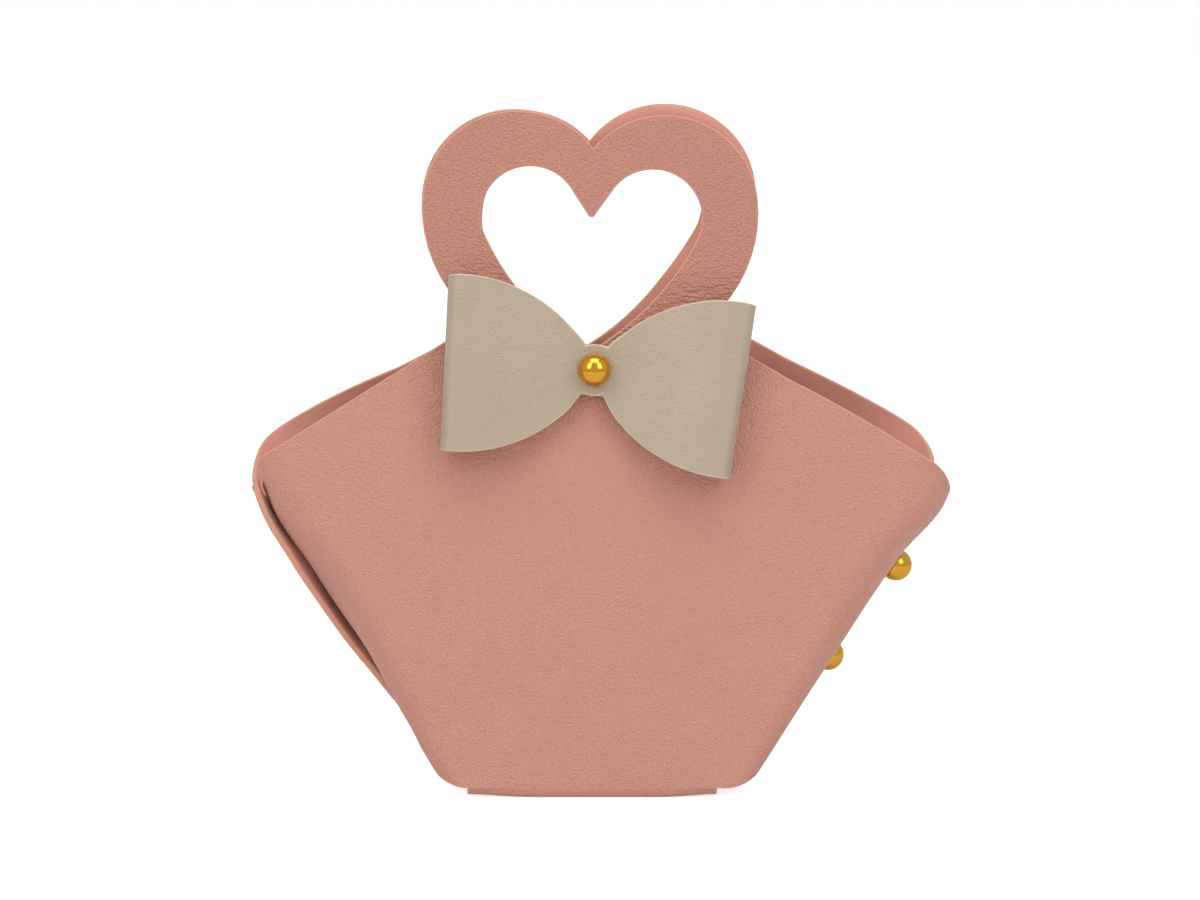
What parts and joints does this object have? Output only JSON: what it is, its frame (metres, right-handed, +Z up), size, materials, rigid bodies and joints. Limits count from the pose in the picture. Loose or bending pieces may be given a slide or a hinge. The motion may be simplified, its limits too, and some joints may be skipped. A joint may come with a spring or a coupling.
{
  "type": "handbag",
  "caption": "Small gift handbag folded from one leather sheet, with heart shaped handles that bend apart, overlapping side wings held by ball studs, and a swivelling bow on the front.",
  "frame": {"origin": "centre of the base on the surface that the bag stands on", "axes": "+X to the right seen from the front, +Y from the front to the back, +Z up; the bow and its stud are on the -Y side"},
  "size_m": [0.1259, 0.044, 0.1227],
  "materials": {
    "leather_sheet": "fine pebble grain with a soft sheen",
    "bow_strip": "pearl grain with a soft sheen",
    "ball_studs": "polished gold plating",
    "stud_screws": "plain gold plating"
  },
  "bodies": {
    "bag": {"front_panel": "leather_sheet", "base_panel": "leather_sheet", "back_panel": "leather_sheet", "right_upper_stud": "ball_studs", "right_lower_stud": "ball_studs", "left_upper_stud": "ball_studs", "left_lower_stud": "ball_studs", "right_upper_screw": "stud_screws", "right_lower_screw": "stud_screws", "left_upper_screw": "stud_screws", "left_lower_screw": "stud_screws"},
    "front_flap": {"front_flap": "leather_sheet", "bow_stud": "ball_studs", "bow_screw": "stud_screws"},
    "back_flap": {"back_flap": "leather_sheet"},
    "bow": {"bow": "bow_strip"}
  },
  "joints": [
    {"name": "front_flap_bend", "type": "hinge", "parent": "bag", "child": "front_flap", "pos_m": [0, -0.01309, 0.05359], "axis": [1, 0, 0], "range_deg": [0, 25], "stiffness_Nm_per_rad": 0.02, "springref_deg": -2.86},
    {"name": "back_flap_bend", "type": "hinge", "parent": "bag", "child": "back_flap", "pos_m": [0, 0.01309, 0.05359], "axis": [-1, 0, 0], "range_deg": [0, 25], "stiffness_Nm_per_rad": 0.02, "springref_deg": -2.86},
    {"name": "bow_swivel", "type": "hinge", "parent": "front_flap", "child": "bow", "pos_m": [0, -0.00967, 0.07601], "axis": [0, -0.9865, 0.164], "range_deg": [-5, 17]}
  ]
}
